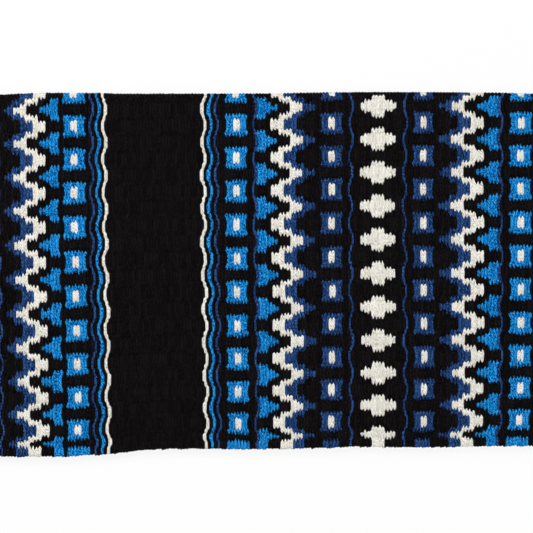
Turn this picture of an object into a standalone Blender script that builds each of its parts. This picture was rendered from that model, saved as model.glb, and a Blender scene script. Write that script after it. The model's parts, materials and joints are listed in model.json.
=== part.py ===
"""A folded wool saddle blanket: two leaves of weft-faced weave joined by a fold along the spine.

Metres, +Z up. The blanket lies flat. The fold is its +Y edge and runs along X, and the two
selvedges lie at its -Y edge. The origin is on the ground below the middle of the blanket.
Each weft band is a sleeve that the warp cords pass through, as on the loom.
"""

import math

import bmesh
import bpy
from mathutils import Matrix, Vector

# Widths of the weft bands along the spine, from the centre band out to one end
DIAMOND_BAND = 0.0754
NAVY_SQUARE_BAND = 0.0365
INNER_ZIGZAG_BAND = 0.0590
INNER_TOOTH_BAR = 0.0213
INNER_AZURE_BAND = 0.0365
INNER_PINSTRIPES = 0.0268
PLAIN_BAND = 0.1107
OUTER_PINSTRIPES = 0.0231
OUTER_AZURE_BAND = 0.0335
OUTER_TOOTH_BAR = 0.0146
OUTER_ZIGZAG_BAND = 0.0572
END_BORDER = 0.0218

# The leaves, from the fold's outermost line to the straight part of the selvedge
FOLDED_WIDTH = 0.4325
LEAF_THICKNESS = 0.0070
LEAF_GAP = 0.0005
LOWER_LEAF_SHORTFALL = 0.0025
FIT_GAP = 0.0003

# The corner of the selvedge that hangs lower than the rest
CORNER_SAG = 0.0125
SAG_START_X = -0.235
SAG_LENGTH = 0.165
SAG_STEPS = 5

# The weave's ribs: one repeat holds a narrow, a wide, a narrow and a wide rib
RIB_REPEAT = 0.04045
RIB_WIDTH_SHARES = (0.20, 0.30, 0.20, 0.30)
FIRST_RIB_START_SHARE = 0.15
EDGE_RIB_WIDTH = 0.0122

# The cords
WARP_THICKNESS = 0.0024
WARP_GROUP_SHARE = 0.62
WARP_END_LOOP = 0.0040
FOLD_CORD_DIAMETER = 0.0024
HEADING_CORD_DIAMETER = 0.0062
CORD_SIDES = 12
FOLD_ARC_STEPS = 12
EDGE_ARC_STEPS = 4
CUT_OVERRUN = 0.002

BLACK = (0.006, 0.005, 0.006)
NAVY = (0.016, 0.046, 0.165)
AZURE = (0.010, 0.180, 0.480)
CREAM = (0.770, 0.730, 0.620)
UNDYED = (0.560, 0.500, 0.400)
WOOL_ROUGHNESS = 0.9
COTTON_ROUGHNESS = 0.8

SIDE_BANDS = [
    ("navy_squares", NAVY_SQUARE_BAND, NAVY),
    ("inner_zigzag", INNER_ZIGZAG_BAND, CREAM),
    ("inner_tooth_bar", INNER_TOOTH_BAR, AZURE),
    ("inner_azure_squares", INNER_AZURE_BAND, AZURE),
    ("inner_pinstripes", INNER_PINSTRIPES, CREAM),
    ("plain_field", PLAIN_BAND, BLACK),
    ("outer_pinstripes", OUTER_PINSTRIPES, CREAM),
    ("outer_azure_squares", OUTER_AZURE_BAND, AZURE),
    ("outer_tooth_bar", OUTER_TOOTH_BAR, AZURE),
    ("outer_zigzag", OUTER_ZIGZAG_BAND, CREAM),
    ("end_border", END_BORDER, BLACK),
]

woven_half_length = DIAMOND_BAND / 2 + sum(width for _, width, _ in SIDE_BANDS)
total_half_length = woven_half_length + FIT_GAP + HEADING_CORD_DIAMETER

fold_radius = LEAF_THICKNESS + LEAF_GAP / 2
bight_radius = fold_radius - FIT_GAP
quarter_arc = math.pi / 2 * (LEAF_THICKNESS + LEAF_GAP) / 2

fold_y = (FOLDED_WIDTH + CORNER_SAG) / 2
leaf_end_y = fold_y - bight_radius - FIT_GAP
hinge_y = leaf_end_y + fold_radius
hinge_z = fold_radius
straight_edge_y = fold_y - FOLDED_WIDTH

slot_height = WARP_THICKNESS + 2 * FIT_GAP
slot_wall = (LEAF_THICKNESS - slot_height) / 2


def smoothstep(value):
    value = min(1.0, max(0.0, value))
    return value * value * (3 - 2 * value)


def selvedge_y(x, shortfall):
    """The Y of the selvedge at this place along the spine."""
    return straight_edge_y + shortfall - CORNER_SAG * smoothstep((SAG_START_X - x) / SAG_LENGTH)


def stations(start_x, end_x):
    """The two ends of a stretch, and the bends of the sagging edge between them."""
    bends = [SAG_START_X - SAG_LENGTH * step / SAG_STEPS for step in range(SAG_STEPS + 1)]
    between = [x for x in bends if start_x + FIT_GAP < x < end_x - FIT_GAP]
    return [start_x] + sorted(between) + [end_x]


def material(name, colour, roughness):
    made = bpy.data.materials.new(name)
    made.use_nodes = True
    shader = made.node_tree.nodes["Principled BSDF"]
    shader.inputs["Base Color"].default_value = (*colour, 1.0)
    shader.inputs["Roughness"].default_value = roughness
    shader.inputs["Metallic"].default_value = 0.0
    made.diffuse_color = (*colour, 1.0)
    return made


def add_object(name, mesh_points, mesh_faces, colour, roughness, parent):
    """A named object from points in world space, with its normals made to point out."""
    mesh = bpy.data.meshes.new(name)
    made = bpy.data.objects.new(name, mesh)
    bpy.context.scene.collection.objects.link(made)
    shape = bmesh.new()
    corners = [shape.verts.new(point - parent.location) for point in mesh_points]
    for face in mesh_faces:
        shape.faces.new([corners[index] for index in face])
    bmesh.ops.recalc_face_normals(shape, faces=shape.faces)
    shape.to_mesh(mesh)
    shape.free()
    mesh.materials.append(material(name, colour, roughness))
    made.parent = parent
    return made


def lofted(rings, holes=None):
    """Points and faces of a solid that runs through these rings, hollow along the rings of holes."""
    points = [Vector(point) for ring in rings for point in ring]
    size = len(rings[0])
    last = len(rings) - 1

    def wall(first, step):
        return [
            (
                first + step * size + index,
                first + step * size + (index + 1) % size,
                first + (step + 1) * size + (index + 1) % size,
                first + (step + 1) * size + index,
            )
            for index in range(size)
        ]

    faces = [face for step in range(last) for face in wall(0, step)]
    if holes is None:
        faces.append(tuple(range(size)))
        faces.append(tuple(last * size + index for index in range(size)))
        return points, faces
    inner = len(points)
    points += [Vector(point) for ring in holes for point in ring]
    faces += [tuple(reversed(face)) for step in range(last) for face in wall(inner, step)]
    for step in (0, last):
        for index in range(size):
            after = (index + 1) % size
            faces.append(
                (
                    step * size + index,
                    step * size + after,
                    inner + step * size + after,
                    inner + step * size + index,
                )
            )
    return points, faces


def leaf_ring(x, middle_z, height, fold_end_y, edge_centre_y):
    """One cross-section of a leaf or of its slot: square at the fold, round at the selvedge."""
    ring = [(x, fold_end_y, middle_z + height / 2), (x, fold_end_y, middle_z - height / 2)]
    for step in range(EDGE_ARC_STEPS + 1):
        turn = -math.pi / 2 - math.pi * step / EDGE_ARC_STEPS
        y = edge_centre_y + math.cos(turn) * height / 2
        ring.append((x, y, middle_z + math.sin(turn) * height / 2))
    return ring


def weft_band(name, start_x, end_x, colour, leaf):
    """A sleeve of packed weft round the warp cords, from the fold to the selvedge."""
    outer = []
    slot = []
    for x in stations(start_x + FIT_GAP / 2, end_x - FIT_GAP / 2):
        edge_centre_y = selvedge_y(x, leaf["shortfall"]) + LEAF_THICKNESS / 2
        outer.append(leaf_ring(x, leaf["middle_z"], LEAF_THICKNESS, leaf_end_y, edge_centre_y))
        slot.append(
            leaf_ring(x, leaf["middle_z"], slot_height, leaf_end_y - slot_wall, edge_centre_y)
        )
    points, faces = lofted(outer, slot)
    return add_object(name, points, faces, colour, WOOL_ROUGHNESS, leaf["parent"])


def rib_stretches(last_distance):
    """Where each rib starts and ends, as distances along the cloth from the middle of the fold."""
    start = FIRST_RIB_START_SHARE * RIB_REPEAT
    found = []
    index = 0
    while start < last_distance:
        width = RIB_WIDTH_SHARES[index % len(RIB_WIDTH_SHARES)] * RIB_REPEAT
        end = min(start + width, last_distance)
        found.append((start, end))
        start += width
        index += 1
    return found


def warp_set(name, leaf):
    """The leaf's warp cords, one flat group in each rib, joined by their end loops."""
    flat_end = FOLDED_WIDTH - bight_radius + quarter_arc - EDGE_RIB_WIDTH
    ribs = [r for r in rib_stretches(flat_end) if r[0] > quarter_arc + slot_wall]
    half_length = woven_half_length - FIT_GAP
    columns = stations(-half_length + WARP_END_LOOP, half_length - WARP_END_LOOP)
    columns = [-half_length] + columns + [half_length]
    levels = []
    for start, end in ribs:
        middle = (start + end) / 2
        half_group = (end - start) * WARP_GROUP_SHARE / 2
        levels += [middle - half_group, middle + half_group]
    points = []
    for x in columns:
        reach = leaf_end_y - selvedge_y(x, leaf["shortfall"]) - EDGE_RIB_WIDTH
        for level in levels:
            y = leaf_end_y - (level - quarter_arc) / (flat_end - quarter_arc) * reach
            for z in (-WARP_THICKNESS / 2, WARP_THICKNESS / 2):
                points.append(Vector((x, y, leaf["middle_z"] + z)))
    rows = len(levels)

    def at(column, row, top):
        return (column * rows + row) * 2 + top

    def filled(column, row):
        inside = 0 <= column < len(columns) - 1 and 0 <= row < rows - 1
        return inside and (row % 2 == 0 or column in (0, len(columns) - 2))

    faces = []
    for column in range(len(columns) - 1):
        for row in range(rows - 1):
            if not filled(column, row):
                continue
            for top in (0, 1):
                faces.append(
                    (
                        at(column, row, top),
                        at(column + 1, row, top),
                        at(column + 1, row + 1, top),
                        at(column, row + 1, top),
                    )
                )
            sides = (
                (filled(column, row - 1), (column, row), (column + 1, row)),
                (filled(column, row + 1), (column, row + 1), (column + 1, row + 1)),
                (filled(column - 1, row), (column, row), (column, row + 1)),
                (filled(column + 1, row), (column + 1, row), (column + 1, row + 1)),
            )
            for covered, first, second in sides:
                if not covered:
                    faces.append((at(*first, 0), at(*second, 0), at(*second, 1), at(*first, 1)))
    return add_object(name, points, faces, UNDYED, COTTON_ROUGHNESS, leaf["parent"])


def edge_warp(name, leaf):
    """The thicker warp group inside the selvedge."""
    half_length = woven_half_length - FIT_GAP
    half_thickness = WARP_THICKNESS / 2
    rings = []
    for x in stations(-half_length, half_length):
        outer_y = selvedge_y(x, leaf["shortfall"]) + slot_wall + 2 * FIT_GAP
        inner_y = selvedge_y(x, leaf["shortfall"]) + EDGE_RIB_WIDTH - FIT_GAP
        low = leaf["middle_z"] - half_thickness
        high = leaf["middle_z"] + half_thickness
        rings.append(
            [
                (x, inner_y, high),
                (x, inner_y, low),
                (x, outer_y + half_thickness, low),
                (x, outer_y, leaf["middle_z"]),
                (x, outer_y + half_thickness, high),
            ]
        )
    points, faces = lofted(rings)
    return add_object(name, points, faces, UNDYED, COTTON_ROUGHNESS, leaf["parent"])


def heading_cord(name, side, leaf):
    """The twined cord that holds the end loops of the warp, along one end of the leaf."""
    centre_x = side * (woven_half_length + FIT_GAP + HEADING_CORD_DIAMETER / 2)
    far_y = selvedge_y(centre_x, leaf["shortfall"])
    rings = []
    for y in (leaf_end_y, far_y):
        ring = []
        for step in range(CORD_SIDES):
            turn = 2 * math.pi * (step + 0.5) / CORD_SIDES
            x = centre_x + math.cos(turn) * HEADING_CORD_DIAMETER / 2
            z = leaf["middle_z"] + math.sin(turn) * HEADING_CORD_DIAMETER / 2
            ring.append((x, y, z))
        rings.append(ring)
    points, faces = lofted(rings)
    return add_object(name, points, faces, BLACK, WOOL_ROUGHNESS, leaf["parent"])


def spine_bight(parent):
    """The turn of the weave round the fold, with a bore for the warp cord that runs in it."""
    inner_radius = LEAF_GAP / 2
    centre_y = leaf_end_y + FIT_GAP
    rings = []
    for x in (-total_half_length, total_half_length):
        ring = []
        for step in range(FOLD_ARC_STEPS + 1):
            turn = -math.pi / 2 + math.pi * step / FOLD_ARC_STEPS
            y = centre_y + math.cos(turn) * bight_radius
            ring.append((x, y, hinge_z + math.sin(turn) * bight_radius))
        for turn in (math.pi / 2, 0, -math.pi / 2):
            y = centre_y + math.cos(turn) * inner_radius
            ring.append((x, y, hinge_z + math.sin(turn) * inner_radius))
        rings.append(ring)
    points, faces = lofted(rings)
    bight = add_object("spine_bight", points, faces, BLACK, WOOL_ROUGHNESS, parent)

    cord_y = centre_y + (inner_radius + bight_radius) / 2
    bore_radius = FOLD_CORD_DIAMETER / 2 + FIT_GAP
    cutter = round_bar("spine_bight_bore", cord_y, bore_radius, total_half_length + CUT_OVERRUN)
    cutter.hide_render = True
    cutter.display_type = "WIRE"
    bore = bight.modifiers.new("bore", "BOOLEAN")
    bore.operation = "DIFFERENCE"
    bore.object = cutter

    cord = round_bar("spine_warp_cord", cord_y, FOLD_CORD_DIAMETER / 2, total_half_length)
    cord.data.materials.append(material("spine_warp_cord", UNDYED, COTTON_ROUGHNESS))
    cord.parent = parent
    return bight


def round_bar(name, y, radius, half_length):
    """A round bar along X at the height of the fold's middle."""
    mesh = bpy.data.meshes.new(name)
    shape = bmesh.new()
    bmesh.ops.create_cone(
        shape,
        cap_ends=True,
        segments=CORD_SIDES,
        radius1=radius,
        radius2=radius,
        depth=2 * half_length,
        matrix=Matrix.Rotation(math.pi / 2, 4, "Y"),
    )
    shape.to_mesh(mesh)
    shape.free()
    made = bpy.data.objects.new(name, mesh)
    made.location = (0, y, hinge_z)
    bpy.context.scene.collection.objects.link(made)
    return made


def body(name, location):
    """An empty that carries the pieces which move together."""
    made = bpy.data.objects.new(name, None)
    made.location = location
    bpy.context.scene.collection.objects.link(made)
    return made


for old in list(bpy.data.objects):
    bpy.data.objects.remove(old)

# The upper leaf turns about the fold, so its empty lies on the fold's axis
lower = {
    "name": "lower",
    "parent": body("lower_leaf", (0, 0, 0)),
    "middle_z": LEAF_THICKNESS / 2,
    "shortfall": LOWER_LEAF_SHORTFALL,
}
upper = {
    "name": "upper",
    "parent": body("upper_leaf", (0, hinge_y, hinge_z)),
    "middle_z": LEAF_THICKNESS + LEAF_GAP + LEAF_THICKNESS / 2,
    "shortfall": 0,
}

for leaf in (lower, upper):
    prefix = leaf["name"]
    weft_band(prefix + "_diamonds", -DIAMOND_BAND / 2, DIAMOND_BAND / 2, CREAM, leaf)
    inner_x = DIAMOND_BAND / 2
    for band_name, band_width, band_colour in SIDE_BANDS:
        outer_x = inner_x + band_width
        weft_band(f"{prefix}_{band_name}_left", -outer_x, -inner_x, band_colour, leaf)
        weft_band(f"{prefix}_{band_name}_right", inner_x, outer_x, band_colour, leaf)
        inner_x = outer_x
    warp_set(prefix + "_warp", leaf)
    edge_warp(prefix + "_edge_warp", leaf)
    heading_cord(prefix + "_heading_cord_left", -1, leaf)
    heading_cord(prefix + "_heading_cord_right", 1, leaf)

spine_bight(lower["parent"])
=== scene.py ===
"""A folded wool saddle blanket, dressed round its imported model. Metres, +Z up.

The cloth lies as the weaver laid it down: the fold is its +Y edge, the selvedges are at -Y, and the
rows of weft are counted outward from the middle row of the diamonds, alike to both sides.
"""

import json
import math

import bpy
import numpy as np
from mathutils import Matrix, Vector


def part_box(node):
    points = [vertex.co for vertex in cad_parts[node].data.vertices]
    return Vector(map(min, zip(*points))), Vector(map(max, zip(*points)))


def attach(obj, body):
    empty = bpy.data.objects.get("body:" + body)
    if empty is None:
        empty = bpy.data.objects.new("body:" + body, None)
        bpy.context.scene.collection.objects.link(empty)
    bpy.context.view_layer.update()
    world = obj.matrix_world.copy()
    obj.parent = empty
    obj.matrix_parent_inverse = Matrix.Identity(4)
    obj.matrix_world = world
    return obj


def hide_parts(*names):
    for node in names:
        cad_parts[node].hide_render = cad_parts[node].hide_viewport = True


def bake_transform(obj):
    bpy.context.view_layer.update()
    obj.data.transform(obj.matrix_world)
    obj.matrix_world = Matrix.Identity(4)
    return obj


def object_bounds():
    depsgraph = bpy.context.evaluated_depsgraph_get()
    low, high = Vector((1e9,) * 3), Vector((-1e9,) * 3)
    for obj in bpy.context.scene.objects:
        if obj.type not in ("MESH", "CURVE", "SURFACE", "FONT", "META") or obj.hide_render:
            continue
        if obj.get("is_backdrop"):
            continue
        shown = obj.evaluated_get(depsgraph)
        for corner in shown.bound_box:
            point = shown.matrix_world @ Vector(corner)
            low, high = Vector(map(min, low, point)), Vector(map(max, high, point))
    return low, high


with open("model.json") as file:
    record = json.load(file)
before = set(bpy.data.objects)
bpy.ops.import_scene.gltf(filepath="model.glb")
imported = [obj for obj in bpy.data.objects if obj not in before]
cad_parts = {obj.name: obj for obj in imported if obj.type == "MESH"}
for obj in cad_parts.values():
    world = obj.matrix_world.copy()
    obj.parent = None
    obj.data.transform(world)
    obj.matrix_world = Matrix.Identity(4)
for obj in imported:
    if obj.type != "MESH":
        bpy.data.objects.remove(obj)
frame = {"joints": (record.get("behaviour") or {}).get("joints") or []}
cad_low, cad_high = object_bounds()
bpy.ops.object.select_all(action="DESELECT")

# Weft yarn: wool, loosely spun in two plies and dyed in the hank. It is matt and a little fuzzy. Its
# plies slant across each float, and the dye took unevenly, in lighter and darker flecks. Real fibres
# are too fine to show, so they are drawn coarser than they are, as strands and clumps.
PLY_SPACING_MM = 2.1
PLY_SLANT = math.radians(-58)
# How much painted light and shade the plies' ridges and grooves put into the colour
PLY_SHADE_WEIGHT = 0.5
CLUMP_WIDTH_MM = 1.7
CLUMP_SQUEEZE = 0.80
STRAND_WIDTH_MM = 0.50
STRAND_SQUEEZE = 0.22
STRAND_WEIGHT = 2.2
FLECK_LENGTH_MM = 1.8
FLECK_WEIGHT = 1.0
DYE_LOT_WEIGHT = 0.22
LOT_DISTANCES_MM = (83.0, 61.0, 0.0)
HALF_FLOAT_MM = 1.95
WELL_LIT_SHARE = 0.4
BUMP_DEPTH = 0.00035


def linear(hex_colour):
    """An sRGB hex colour as the linear colour that a shader takes."""
    shares = [int(hex_colour[at : at + 2], 16) / 255 for at in (1, 3, 5)]
    lit = [s / 12.92 if s <= 0.04045 else ((s + 0.055) / 1.055) ** 2.4 for s in shares]
    return (*lit, 1.0)


def add_node(tree, kind, inputs=None, **settings):
    """A new node with these settings. An input is a value or another node's output."""
    made = tree.nodes.new(kind)
    for name, value in settings.items():
        setattr(made, name, value)
    for socket, value in (inputs or {}).items():
        if isinstance(value, bpy.types.NodeSocket):
            tree.links.new(value, made.inputs[socket])
        else:
            made.inputs[socket].default_value = value
    return made


def spun_yarn(name, dark, middle, light, uneven, groove_shade, gloss):
    """Two-ply yarn, drawn along each float by the UV maps 'yarn', in millimetres, and 'dye'."""
    made = bpy.data.materials.new(name)
    made.use_nodes = True
    tree = made.node_tree
    shader = tree.nodes["Principled BSDF"]
    yarn = add_node(tree, "ShaderNodeUVMap", uv_map="yarn").outputs["UV"]
    dye = add_node(tree, "ShaderNodeUVMap", uv_map="dye").outputs["UV"]
    dye_parts = add_node(tree, "ShaderNodeSeparateXYZ", {"Vector": dye})
    yarn_parts = add_node(tree, "ShaderNodeSeparateXYZ", {"Vector": yarn})

    # Each float reads its own stretch of the yarn
    apart = add_node(
        tree, "ShaderNodeVectorMath", {0: dye, 1: LOT_DISTANCES_MM}, operation="MULTIPLY"
    )
    own = add_node(
        tree, "ShaderNodeVectorMath", {0: yarn, 1: apart.outputs[0]}, operation="ADD"
    ).outputs[0]
    slanted = add_node(
        tree, "ShaderNodeMapping", {"Vector": own, "Rotation": (0.0, 0.0, PLY_SLANT)}
    ).outputs["Vector"]
    plies = add_node(
        tree,
        "ShaderNodeTexWave",
        {
            "Vector": slanted,
            "Scale": math.pi / 10 / PLY_SPACING_MM,
            "Distortion": 2.2,
            "Detail": 2.0,
            "Detail Scale": 1.6,
        },
        bands_direction="Y",
    ).outputs["Fac"]
    fibres = []
    for squeeze, width_mm, detail, roughness in (
        (STRAND_SQUEEZE, STRAND_WIDTH_MM, 3.0, 0.65),
        (CLUMP_SQUEEZE, CLUMP_WIDTH_MM, 2.0, 0.7),
    ):
        drawn_out = add_node(
            tree, "ShaderNodeMapping", {"Vector": slanted, "Scale": (squeeze, 1.0, 1.0)}
        ).outputs["Vector"]
        noise = add_node(
            tree,
            "ShaderNodeTexNoise",
            {"Vector": drawn_out, "Scale": 1 / width_mm, "Detail": detail, "Roughness": roughness},
        )
        fibres.append(noise.outputs["Fac"])
    strands, clumps = fibres
    flecks = add_node(
        tree,
        "ShaderNodeTexNoise",
        {"Vector": own, "Scale": 1 / FLECK_LENGTH_MM, "Detail": 2.0, "Roughness": 0.7},
    ).outputs["Fac"]

    # The dye's depth: clump, fleck, strand and the whole float each shift it. The plies shift it
    # too, as painted light on their ridges and painted shade in the grooves between them
    mixed = 0.5
    for part, weight in (
        (clumps, uneven),
        (flecks, FLECK_WEIGHT),
        (strands, STRAND_WEIGHT),
        (plies, PLY_SHADE_WEIGHT),
        (dye_parts.outputs["X"], DYE_LOT_WEIGHT),
    ):
        centred = add_node(
            tree, "ShaderNodeMath", {0: part, 1: weight, 2: -weight / 2}, operation="MULTIPLY_ADD"
        )
        mixed = add_node(
            tree, "ShaderNodeMath", {0: centred.outputs[0], 1: mixed}, operation="ADD"
        ).outputs[0]
    ramp = add_node(tree, "ShaderNodeValToRGB", {"Fac": mixed})
    stops = ramp.color_ramp.elements
    stops[0].position = 0.02
    stops[0].color = linear(dark)
    stops[1].position = 0.98
    stops[1].color = linear(light)
    stops.new(0.5).color = linear(middle)

    # Where two floats press together little light gets in
    side = add_node(
        tree, "ShaderNodeMath", {0: yarn_parts.outputs["X"]}, operation="ABSOLUTE"
    ).outputs[0]
    shade = add_node(
        tree,
        "ShaderNodeMapRange",
        {
            "Value": side,
            "From Min": HALF_FLOAT_MM * WELL_LIT_SHARE,
            "From Max": HALF_FLOAT_MM,
            "To Min": 1.0,
            "To Max": groove_shade,
        },
        interpolation_type="SMOOTHSTEP",
    ).outputs["Result"]
    colour = add_node(
        tree, "ShaderNodeVectorMath", {0: ramp.outputs["Color"], "Scale": shade}, operation="SCALE"
    ).outputs[0]
    tree.links.new(colour, shader.inputs["Base Color"])

    # Clumps and plies raise the yarn most, and single strands a little
    height = add_node(
        tree, "ShaderNodeMath", {0: clumps, 1: 1.6, 2: plies}, operation="MULTIPLY_ADD"
    ).outputs[0]
    height = add_node(
        tree, "ShaderNodeMath", {0: strands, 1: 0.35, 2: height}, operation="MULTIPLY_ADD"
    ).outputs[0]
    bump = add_node(
        tree, "ShaderNodeBump", {"Height": height, "Strength": 0.6, "Distance": BUMP_DEPTH}
    )
    tree.links.new(bump.outputs["Normal"], shader.inputs["Normal"])
    shader.inputs["Roughness"].default_value = 0.92
    shader.inputs["Specular IOR Level"].default_value = gloss
    shader.inputs["Sheen Weight"].default_value = 0.008
    shader.inputs["Sheen Roughness"].default_value = 0.5
    shader.inputs["Sheen Tint"].default_value = linear(light)
    return made


# Each yarn's darkest, middle and lightest colour, how unevenly it took the dye, how much light is
# left in the grooves beside its floats, and its gloss
BLACK, NAVY, AZURE, CREAM = range(4)
yarns = [
    spun_yarn("black wool yarn", "#010001", "#090708", "#252223", 1.8, 0.55, 0.03),
    spun_yarn("navy wool yarn", "#010818", "#152e5e", "#4674b8", 3.0, 0.54, 0.02),
    spun_yarn("azure wool yarn", "#000c36", "#0079d4", "#3cbaff", 4.2, 0.62, 0.00),
    spun_yarn("cream wool yarn", "#a49e90", "#eeeadf", "#fffdf8", 2.4, 0.98, 0.05),
]

# The weave is weft-faced: yarn packed so hard that no warp shows. The warp cords divide the cloth in
# ribs. A float of weft crosses one rib, and its pointed ends are locked between those of the next
# rib, half a row aside.
ROWS_TO_THE_END = 122.5
COLUMNS_A_ROW = 4
HALF_ROW = COLUMNS_A_ROW // 2
FULL_REPEATS = 10
RIB_REPEAT = 0.04045
RIB_SHARES = {"between": 0.1375, "diamond": 0.371, "square": 0.354}
RIB_ORDER = ["between", "diamond", "between", "square"]
LAST_RIB_SHARES = [("between", 0.110), ("narrow", 0.235)]
HALF_ROW_RIBS = ("between", "selvedge")
LIKE_KIND = {"narrow": "diamond", "selvedge": "between"}

# The draft. Three kinds of rib take turns, and each has its own rows of each yarn, counted outward
# from the middle of the diamonds. The rest is black.
DRAFT = {
    "diamond": [
        *[(0, 5, CREAM), (8, 8, NAVY), (20, 23, NAVY), (24, 27, CREAM), (32, 37, AZURE)],
        *[(38, 38, NAVY), (51, 51, NAVY), (53, 53, AZURE), (55, 55, CREAM), (85, 85, CREAM)],
        *[(87, 87, AZURE), (89, 89, NAVY), (100, 105, AZURE), (110, 113, CREAM), (114, 116, NAVY)],
        (119, 119, NAVY),
    ],
    "between": [
        *[(0.5, 1.5, CREAM), (8.5, 8.5, NAVY), (11.5, 17.5, NAVY), (23.5, 26.5, NAVY)],
        *[(27.5, 30.5, CREAM), (35.5, 37.5, AZURE), (38.5, 38.5, NAVY), (41.5, 47.5, AZURE)],
        *[(50.5, 50.5, NAVY), (52.5, 52.5, AZURE), (54.5, 54.5, CREAM), (85.5, 85.5, CREAM)],
        *[(87.5, 87.5, AZURE), (89.5, 89.5, NAVY), (91.5, 97.5, AZURE), (99.5, 101.5, AZURE)],
        *[(106.5, 109.5, CREAM), (110.5, 113.5, NAVY), (118.5, 118.5, NAVY)],
    ],
    "square": [
        *[(9, 9, NAVY), (12, 13, NAVY), (14, 15, CREAM), (16, 17, NAVY), (26, 29, NAVY)],
        *[(30, 33, CREAM), (39, 39, NAVY), (42, 43, AZURE), (44, 45, CREAM), (46, 47, AZURE)],
        *[(50, 50, NAVY), (52, 52, AZURE), (54, 54, CREAM), (86, 86, CREAM), (88, 88, AZURE)],
        *[(90, 90, NAVY), (92, 93, AZURE), (94, 95, CREAM), (96, 97, AZURE), (104, 107, CREAM)],
        *[(108, 111, NAVY), (118, 118, NAVY)],
    ],
}
DRAFT["selvedge"] = [(12.5, 16.5, NAVY) if run[0] == 11.5 else run for run in DRAFT["between"]]
DRAFT["narrow"] = DRAFT["diamond"]

# The cloth's sizes and place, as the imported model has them
hinge_y, hinge_z = frame["joints"][0]["pos_m"][1:]
upper_low, upper_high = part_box("upper_plain_field_right")
lower_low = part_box("lower_plain_field_right")[0]
half_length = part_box("upper_end_border_right")[1].x
row_pitch = half_length / ROWS_TO_THE_END
column_pitch = row_pitch / COLUMNS_A_ROW
fold_start_y = upper_high.y
fold_radius = hinge_y - fold_start_y
half_gap = upper_low.z - hinge_z
edge_radius = (upper_high.z - upper_low.z) / 2
corner_sag = upper_low.y - cad_low.y
quarter_fold = fold_radius * math.pi / 2
flat_end = quarter_fold + fold_start_y - (upper_low.y + edge_radius)
cloth_end = flat_end + edge_radius * math.pi / 2

# Every rib from the fold to the selvedge: its kind, and where it starts and ends along the cloth
fold_rib_half = RIB_SHARES["square"] * RIB_REPEAT / 2
ribs = [("square", -fold_rib_half, fold_rib_half)]
while len(ribs) <= FULL_REPEATS * len(RIB_ORDER):
    kind = RIB_ORDER[(len(ribs) - 1) % len(RIB_ORDER)]
    ribs.append((kind, ribs[-1][2], ribs[-1][2] + RIB_SHARES[kind] * RIB_REPEAT))
for kind, share in LAST_RIB_SHARES:
    ribs.append((kind, ribs[-1][2], ribs[-1][2] + share * RIB_REPEAT))
ribs.append(("selvedge", ribs[-1][2], cloth_end))
rib_kinds = [kind for kind, _, _ in ribs]
rib_middles = np.array([(start + end) / 2 for _, start, end in ribs])
rib_offsets = np.array([HALF_ROW * (kind in HALF_ROW_RIBS) for kind in rib_kinds])

# The stations of the mesh along the cloth. At a rib's border the floats of both ribs are half as
# wide as a row, and on either side of it they come to their points.
FLOAT_TIP = 0.0020
MOST_TIP_SHARE = 0.27
TIP_DIP = 0.3
FOLD_DIP = 0.05
FOLD_STATION_SHARE = 0.45
SELVEDGE_TURN_SHARES = (0.0, 0.4, 0.7, 1.0)
STRAIGHT, NARROWING, WIDENING = range(3)
stations = [0.0]
dips = [0.0]
at_border = [False]
steps = []


def tip_length(start, end):
    """How long the floats' pointed ends are on a rib of this width."""
    return min(FLOAT_TIP, MOST_TIP_SHARE * (end - start))


def add_station(distance, dip, rib, stretch):
    """One more station, and the stretch that leads to it. The floats narrow up to a border."""
    stations.append(distance)
    dips.append(dip)
    at_border.append(stretch == NARROWING)
    steps.append((rib, stretch))


for rib, (kind, start, end) in enumerate(ribs):
    tip = tip_length(start, end)
    if rib > 0:
        add_station(start + tip, TIP_DIP, rib, WIDENING)
    if rib == len(ribs) - 1:
        for share in SELVEDGE_TURN_SHARES:
            reached = flat_end + share * (cloth_end - flat_end)
            add_station(reached, 0.0, rib, STRAIGHT)
        break
    if rib == 0:
        add_station(FOLD_STATION_SHARE * (end - tip), FOLD_DIP, rib, STRAIGHT)
    else:
        add_station((start + end) / 2, 0.0, rib, STRAIGHT)
    add_station(end - tip, TIP_DIP, rib, STRAIGHT)
    add_station(end, 1.0, rib, NARROWING)

middle = len(stations) - 1
borders = np.flatnonzero(at_border)
distance = np.concatenate([-np.array(stations[:0:-1]), stations])
dip = np.concatenate([dips[:0:-1], dips])
border = np.concatenate([at_border[:0:-1], at_border])
rib_of_station = np.array([0] + [rib for rib, _ in steps])
column_reach = round(ROWS_TO_THE_END * COLUMNS_A_ROW)
columns = np.arange(-column_reach, column_reach + 1)

# How the photographed cloth lies: its rows draw in and wander towards the selvedge, its ribs slant
# against the fold, and its fold and selvedge aren't quite straight. Each is given at places in X.
ROW_PLACES = [
    *[-0.480, -0.436, -0.399, -0.371, -0.350, -0.334, -0.213, -0.170, -0.125, -0.105, -0.083],
    *[-0.057, 0.0, 0.033, 0.055, 0.076, 0.097, 0.117, 0.136, 0.155, 0.173, 0.300, 0.480],
]
SHIFT_BY_THE_FOLD_MM = [
    *[0.0, -0.6, -1.3, -2.7, -0.7, -0.4, 0.6, 0.8, 0.0, -0.1, -0.2],
    *[0.4, 0.3, 0.3, -1.0, -2.0, -2.1, -1.8, -0.9, 0.5, 1.7, 0.0, 0.0],
]
SHIFT_BY_THE_SELVEDGE_MM = [
    *[4.4, 4.4, 4.1, 5.2, 6.1, 6.4, 3.5, 4.1, 3.2, 2.3, 0.2],
    *[-0.2, 0.5, 0.2, -0.4, -0.8, -2.7, -3.1, -2.8, -2.9, -2.2, -4.0, -6.0],
]
RIB_DRIFT_SHARES = [0.0, 0.07, 0.26, 0.44, 0.63, 0.73, 0.82, 0.92, 1.0]
RIB_DRIFT_MM = [0.0, 0.4, 0.5, 1.7, 2.7, 2.9, 2.4, 0.7, 0.0]
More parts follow.
